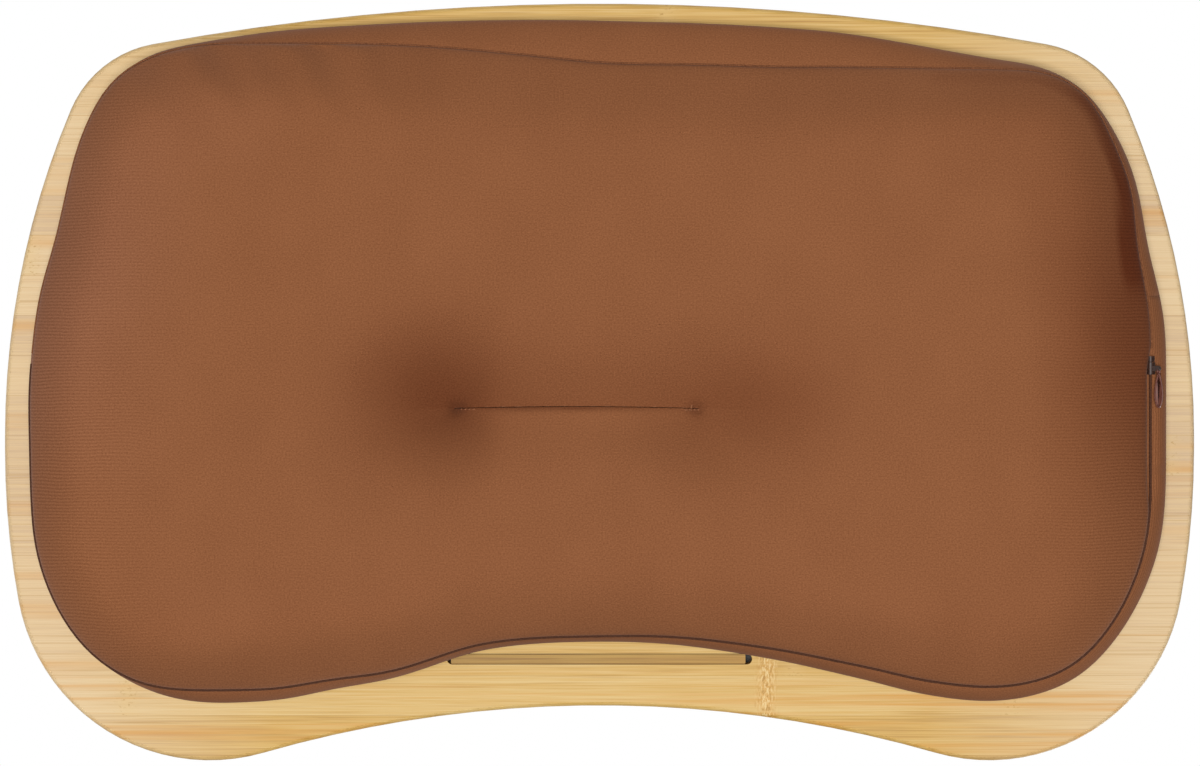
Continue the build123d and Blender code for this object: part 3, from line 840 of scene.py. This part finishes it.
def paint_shade_and_sheen(mesh, flat):
    """Attributes of painted shade and of painted sheen on the face, from places and reaches in metres."""
    x, y = flat.T
    seam_gap = seam_distance(flat, seam_loop)
    # Painted shade on the slope by the zip's rim.
    zip_rim = np.clip(1 - seam_gap / 0.060, 0, 1) ** 0.8 * np.clip((-x - 0.14) / 0.06, 0, 1) * bell(y, 0.025, 0.076)
    # Painted shadow of the fold along the seam above the zip.
    lip_width = 0.006 + 0.004 * np.clip((0.118 - y) / 0.060, 0, 1)
    zip_lip = np.clip((lip_width - seam_gap) / 0.0030 + 0.5, 0, 1) * (x < -0.15)
    zip_lip *= bell(np.maximum(np.abs(y - 0.090) - 0.036, 0), 0, 0.010)
    # Painted shade in the two pits.
    by_deep_pit = bell(x, tuft_right_x + 0.013, 0.036) * bell(y, tuft_y + 0.008, 0.031)
    by_shallow_pit = bell(x, tuft_left_x - 0.030, 0.034) * bell(y, tuft_y + 0.004, 0.026)
    # Painted shade just above the crease.
    between = bell(x, (tuft_left_x + tuft_right_x) / 2, 0.065, 4) * (y > tuft_y)
    between *= np.exp(-np.maximum(y - tuft_y, 0) / 0.022)
    painted_shade = np.clip(1.2 * zip_rim + 0.76 * by_deep_pit + 0.55 * by_shallow_pit + 0.38 * between, 0, 1)
    painted_shade = np.clip(0.69 * painted_shade + 0.6 * zip_lip, 0, 1)
    # Painted sheen, paler and bluer, by the rim on the other side.
    painted_sheen = bell(seam_gap, 0, 0.050) * np.clip((x - 0.13) / 0.06, 0, 1) * bell(y, 0.045, 0.085)
    for name, values in (("shade_paint", painted_shade), ("sheen_paint", painted_sheen)):
        mesh.attributes.new(name, "FLOAT", "POINT").data.foreach_set("value", values.astype(np.float32))


def cloth_piece(name, first, last, material, columns=None, flat_lay=False, end_closed=False, painted_light=False,
                subdivisions=1):
    """A panel of the cover from a run of rings, with its cloth coordinates, thickness and finish."""
    columns = list(range(ring_points)) if columns is None else columns
    grid = rings[first:last + 1][:, columns]
    rows, count = grid.shape[:2]
    faces = grid_faces(rows, count, closed=count == ring_points)
    if end_closed:
        faces.append(end_faces(rows, count)[1])
    piece = mesh_piece(name, grid, faces)
    mesh = piece.data
    if painted_light:
        paint_shade_and_sheen(mesh, grid[:, :, :2].reshape(-1, 2))
    lay = mesh.uv_layers.new(name="cloth")
    climb = np.linalg.norm(np.diff(grid, axis=0), axis=2).cumsum(axis=0)
    climb = np.concatenate([np.zeros((1, count)), climb])
    for corner in mesh.loops:
        row, point = divmod(corner.vertex_index, count)
        spread = grid[row, point, :2] if flat_lay else (seam_run[columns[point]], climb[row, point])
        lay.data[corner.index].uv = tuple(spread)
    if flat_lay:
        edit_whole()
        bpy.ops.mesh.remove_doubles(threshold=merge_gap)
        bpy.ops.object.mode_set(mode="OBJECT")
    if subdivisions:
        apply_modifier(piece, "SUBSURF", levels=subdivisions, render_levels=subdivisions)
    apply_modifier(piece, "SOLIDIFY", thickness=cloth_thickness, offset=1)
    for polygon in mesh.polygons:
        polygon.use_smooth = True
    mesh.materials.append(material)
    return piece


# The band's far and near halves are joined at each side
plain_side_join_y = 0.053
zip_side_join_y = 0.039
band_last = face_rings + band_rings
join_y = np.where(widest_loop[:, 0] > 0, plain_side_join_y, zip_side_join_y)
far_columns = [i for i in range(ring_points) if widest_loop[i, 1] >= join_y[i]]
start_far = next(k for k, i in enumerate(far_columns) if (i - 1) % ring_points not in far_columns)
far_columns = far_columns[start_far:] + far_columns[:start_far]
near_count = ring_points - len(far_columns) + 2
near_columns = [(far_columns[-1] + step) % ring_points for step in range(near_count)]
face_cloth = cover_material("cover_face")
band_cloth = cover_material("cover_band")
face_piece = cloth_piece("cushion_face", 0, face_rings, face_cloth, flat_lay=True, painted_light=True)
band_far_piece = cloth_piece("cushion_band_far", face_rings, band_last, band_cloth, far_columns)
band_near_piece = cloth_piece("cushion_band_near", face_rings, band_last, band_cloth, near_columns)
back_piece = cloth_piece("cushion_back", band_last, total_rings - 1, band_cloth, flat_lay=True, end_closed=True,
                         subdivisions=0)
for piece, replaced in (
    (face_piece, ["face_panel", "casing_face", "filling"]),
    (band_far_piece, ["band_far"]),
    (band_near_piece, ["band_near", "zip_tape_face", "zip_tape_band"]),
    (back_piece, ["back_panel", "casing_back"]),
):
    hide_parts(*replaced)
    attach(piece, "cushion")

# Seam thread and zip coil.
# A dark thread at the bottom of the face seam on the far side is partly the lockstitch's thread and partly painted
# shade of the seam's crease. Round the near side the closed nylon coil of the zip lies there instead, between the
# lips of the two panels.
seam_thread_and_shade_radius = 0.00042
shown_coil_radius = 0.0006
thread_sides = 8
thread_proud = 0.0001
coil_overrun = 0.002
thread_finish = {"marks": (2600, 900, 900), "roughness": 0.85, "specular": 0.15, "relief": 0.0001}
nylon_finish = {"marks": (1200, 1200, 1200), "roughness": 0.85, "specular": 0.2, "relief": 0.0004,
                "detail": 3, "coarseness": 0.7}


def trim_material(name, dark, light, marks, roughness, specular, relief=None, detail=2, coarseness=0.5, metallic=0.0):
    """Finely mottled trim: thread, nylon or lacquer. A pair as roughness follows the mottle by slope and start."""
    material, tree, shader, coordinates = new_material(name)
    mottle = stretched_noise(tree, coordinates, marks, detail, coarseness)
    if isinstance(roughness, tuple):
        roughness = math_node(tree, "MULTIPLY_ADD", mottle, *roughness)
    feed(tree, shader, {
        "Base Color": tone_ramp(tree, mottle, [(0.3, dark), (0.7, light)]), "Roughness": roughness,
        "Specular IOR Level": specular, "Metallic": metallic,
    })
    if relief:
        bump = add_node(tree, "Bump", {"Distance": relief, "Height": mottle})
        tree.links.new(bump.outputs[0], shader.inputs["Normal"])
    return material


def thread_run(name, points, radius):
    """A thin closed-ended tube of thread along a run of points."""
    tangent = np.gradient(points, axis=0)
    tangent /= np.linalg.norm(tangent, axis=1)[:, None]
    side = np.cross(tangent, (0, 0, 1))
    side /= np.linalg.norm(side, axis=1)[:, None]
    up = np.cross(side, tangent)
    turns = np.linspace(0, 2 * math.pi, thread_sides, endpoint=False)
    circles = np.cos(turns)[:, None] * side[:, None] + np.sin(turns)[:, None] * up[:, None]
    circles = points[:, None] + radius * circles
    rows = len(points)
    piece = mesh_piece(name, circles, grid_faces(rows, thread_sides) + end_faces(rows, thread_sides))
    edit_whole()
    bpy.ops.mesh.normals_make_consistent(inside=False)
    bpy.ops.object.mode_set(mode="OBJECT")
    bpy.ops.object.shade_smooth_by_angle(angle=math.radians(50))
    return piece


def run_of(chosen):
    """The ring's points in order along one run of the chosen ones."""
    first = next(i for i in range(ring_points) if chosen[i] and not chosen[i - 1])
    return [(first + step) % ring_points for step in range(int(chosen.sum()))]


off_zip = seam_loop[:, 1] > coil_high.y + coil_overrun
seam_line = np.column_stack([seam_loop + thread_proud * seam_normals,
                             np.full(ring_points, seam_height - thread_proud)])
# The thread is coloured as a darkened fabric: thread and painted shade of the seam's crease in one.
seam_thread_and_shade = thread_run("cushion_seam_thread_and_shade", seam_line[run_of(off_zip)], seam_thread_and_shade_radius)
seam_thread_and_shade.data.materials.append(
    trim_material("thread_and_shade_seam", (0.125, 0.043, 0.017), (0.25, 0.095, 0.040), **thread_finish))
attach(seam_thread_and_shade, "cushion")
coil_line = np.column_stack([seam_loop, np.full(ring_points, seam_height)])
shown_coil = thread_run("cushion_zip_coil", coil_line[run_of(~off_zip)], shown_coil_radius)
shown_coil.data.materials.append(
    trim_material("zip_coil", (0.050, 0.018, 0.009), (0.105, 0.039, 0.020), **nylon_finish))
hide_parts("zip_coil")
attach(shown_coil, "cushion")

# Tuft.
# Dark brown thread: a short bar tack at each end of the stitched line that holds the dish down, two cords through the
# cushion, and a knot of each on the back. The stitches on the face are coloured lighter, as a painted highlight.
tack_stitch = (0.0017, 0.0007)
tack_pitch = 0.0019
crease_stitch = (0.0034, 0.00022)
crease_pitch = 0.0068
cord_radius = 0.0009
cord_ply_depth = 0.12
cord_ply_pitch = 0.006
thread = trim_material("thread_dark", (0.075, 0.026, 0.011), (0.14, 0.052, 0.023), **thread_finish)
# Lighter thread for the stitches on the face: painted highlight on the raised thread.
highlit_stitch_thread = trim_material("thread_stitch_highlit", (0.16, 0.060, 0.026), (0.36, 0.150, 0.070), **thread_finish)


def surface_z(x, y):
    """Height of the cover's outside at a place on the face."""
    flat = rings[:face_rings + 1].reshape(-1, 3)
    return float(flat[np.argmin(np.hypot(flat[:, 0] - x, flat[:, 1] - y)), 2])


def sew(name, replaced, stitches):
    """A row of stitches: each is a short loop of thread, pressed flat on the cover."""
    made = []
    for x, y, length, width, turn in stitches:
        bpy.ops.object.select_all(action="DESELECT")
        bpy.ops.mesh.primitive_uv_sphere_add(segments=16, ring_count=10, radius=0.5, location=(0, 0, 0))
        edit_whole()
        bpy.ops.transform.resize(value=(length, width, width * 0.7))
        bpy.ops.transform.rotate(value=turn, orient_axis="Z", center_override=(0, 0, 0))
        bpy.ops.transform.translate(value=(x, y, surface_z(x, y) - width * 0.1))
        bpy.ops.object.mode_set(mode="OBJECT")
        made.append(bpy.context.object)
    for loop in made:
        loop.select_set(True)
    bpy.context.view_layer.objects.active = made[0]
    bpy.ops.object.join()
    bpy.ops.object.shade_smooth()
    piece = bpy.context.object
    piece.name = name
    piece.data.materials.append(highlit_stitch_thread)
    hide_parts(*replaced)
    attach(piece, "cushion")


tack_y = float(crease_y(tuft_right_x)) - 0.0004
sew("tuft_stitches_right", ["tuft_tack_right"], [
    (tuft_right_x - 0.0006 - tack_pitch * step, tack_y, *tack_stitch, 0.12) for step in range(5)
])
sew("tuft_stitches_left", ["tuft_tack_left"], [
    (tuft_left_x - 0.001 + tack_pitch * step, tack_y - 0.0003, *tack_stitch, -0.1) for step in range(4)
] + [(tuft_left_x + 0.0022, tack_y + 0.0018, 0.0034, 0.0008, 1.45)])
sew("tuft_crease_thread", ["tuft_thread"], [
    (x, float(crease_y(x)) + 0.0003, *crease_stitch, 0.0)
    for x in (tuft_left_x + 0.006 + crease_pitch * step for step in range(14))
])
for hand, tack_x in (("left", tuft_left_x), ("right", tuft_right_x)):
    dress(f"tuft_knot_{hand}", thread)
    low = surface_z(tack_x, tuft_y) + 0.0008
    bpy.ops.object.select_all(action="DESELECT")
    bpy.ops.mesh.primitive_cylinder_add(vertices=16, radius=cord_radius, depth=back_low.z - low,
                                        location=(tack_x, tuft_y, (back_low.z + low) / 2))
    cord = bpy.context.object
    cord.name = f"tuft_cord_{hand}_shown"
    bpy.ops.object.transform_apply(location=True, rotation=True, scale=True)
    edit_whole()
    bpy.ops.mesh.subdivide(number_cuts=9)
    bpy.ops.object.mode_set(mode="OBJECT")
    for vertex in cord.data.vertices:
        turn = math.atan2(vertex.co.y - tuft_y, vertex.co.x - tack_x)
        ply = 1 + cord_ply_depth * math.cos(3 * turn + vertex.co.z * 2 * math.pi / cord_ply_pitch)
        vertex.co.x = tack_x + (vertex.co.x - tack_x) * ply
        vertex.co.y = tuft_y + (vertex.co.y - tuft_y) * ply
    bpy.ops.object.shade_smooth_by_angle(angle=math.radians(40))
    cord.data.materials.append(thread)
    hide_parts(f"tuft_cord_{hand}")
    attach(cord, "cushion")

# Zip slider and stops.
# Die-cast metal in dark brown lacquer. The slider wraps round the coil and carries its pull on a pin between two lugs,
# and a stop is clamped on each end of the coil.
lacquer_finish = {"marks": (900, 900, 900), "roughness": (0.14, 0.36), "specular": 0.3, "metallic": 0.1}
lacquer = trim_material("zip_lacquer", (0.022, 0.009, 0.006), (0.045, 0.018, 0.011), **lacquer_finish)
for name in ("zip_slider", "zip_top_stop", "zip_end_stop"):
    dress(name, lacquer)

# Zip pull.
# A die-cast leaf in red-brown lacquer, with a raised rim and a sunk middle. It hangs by a small ring on the slider's
# pin.
leaf_length = 0.0165
leaf_width = 0.0042
leaf_thickness = 0.0011
leaf_rim = 0.0006
leaf_sink = 0.0003
leaf_round = 0.00018
leaf_tilt = 0.35
leaf_drop = (-0.0003, -0.0004)
ring_radius = 0.0015
ring_wire = 0.0004
ring_tilt = math.radians(70)
pin = Vector(frame["record"]["behaviour"]["joints"][3]["pos_m"])


def pick(test):
    """Selects only the faces whose middle and normal pass the test, in edit mode."""
    mesh = bpy.context.object.data
    bpy.ops.mesh.select_all(action="DESELECT")
    form = bmesh.from_edit_mesh(mesh)
    for face in form.faces:
        face.select_set(test(face.calc_center_median(), face.normal))
    bmesh.update_edit_mesh(mesh)


bpy.ops.object.select_all(action="DESELECT")
bpy.ops.mesh.primitive_cylinder_add(vertices=32, radius=0.5, depth=1, location=(0, 0, 0))
leaf = bpy.context.object
leaf.name = "zip_pull_leaf"
edit_whole()
bpy.ops.transform.resize(value=(leaf_width, leaf_length, leaf_thickness))
form = bmesh.from_edit_mesh(leaf.data)
for vertex in form.verts:
    share = vertex.co.y / leaf_length + 0.5
    vertex.co.x *= 1.12 - 0.62 * max(0.0, share) ** 1.6
bmesh.update_edit_mesh(leaf.data)
for facing in (-1, 1):
    pick(lambda middle, normal: normal.z * facing > 0.9)
    bpy.ops.mesh.inset(thickness=leaf_rim, depth=0)
    bpy.ops.mesh.inset(thickness=leaf_rim * 0.3, depth=-leaf_sink)
bpy.ops.mesh.select_all(action="SELECT")
bpy.ops.transform.rotate(value=leaf_tilt, orient_axis="Y", center_override=(0, 0, 0))
bpy.ops.transform.translate(value=(
    pin.x + leaf_drop[0], pin.y - ring_radius - leaf_length / 2, pin.z + leaf_drop[1]))
bpy.ops.mesh.select_all(action="DESELECT")
bpy.ops.mesh.primitive_torus_add(
    major_radius=ring_radius, minor_radius=ring_wire, major_segments=24, minor_segments=10,
    location=tuple(pin - Vector((0, ring_radius * 0.8, 0))), rotation=(0, ring_tilt, 0))
bpy.ops.object.mode_set(mode="OBJECT")
apply_modifier(leaf, "BEVEL", width=leaf_round, segments=2, limit_method="ANGLE", angle_limit=math.radians(40))
bpy.ops.object.shade_smooth_by_angle(angle=math.radians(35))
leaf.data.materials.append(
    trim_material("pull_lacquer", (0.090, 0.024, 0.015), (0.150, 0.045, 0.027), **lacquer_finish))
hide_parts("zip_pull")
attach(leaf, "pull")

# Hook and loop strips.
# Woven tapes between the cushion's back and the board, which hold the two together: stiff hooks stuck to the wood,
# and soft loops sewn to the cloth.
hook_nylon = trim_material("hook_strip", (0.045, 0.022, 0.013), (0.12, 0.06, 0.036), **nylon_finish)
loop_pile = trim_material("loop_strip", (0.06, 0.030, 0.018), (0.16, 0.085, 0.05), **nylon_finish)
for row in ("far", "near"):
    for hand in ("left", "right"):
        dress(f"hook_strip_{row}_{hand}", hook_nylon)
        dress(f"loop_strip_{row}_{hand}", loop_pile)
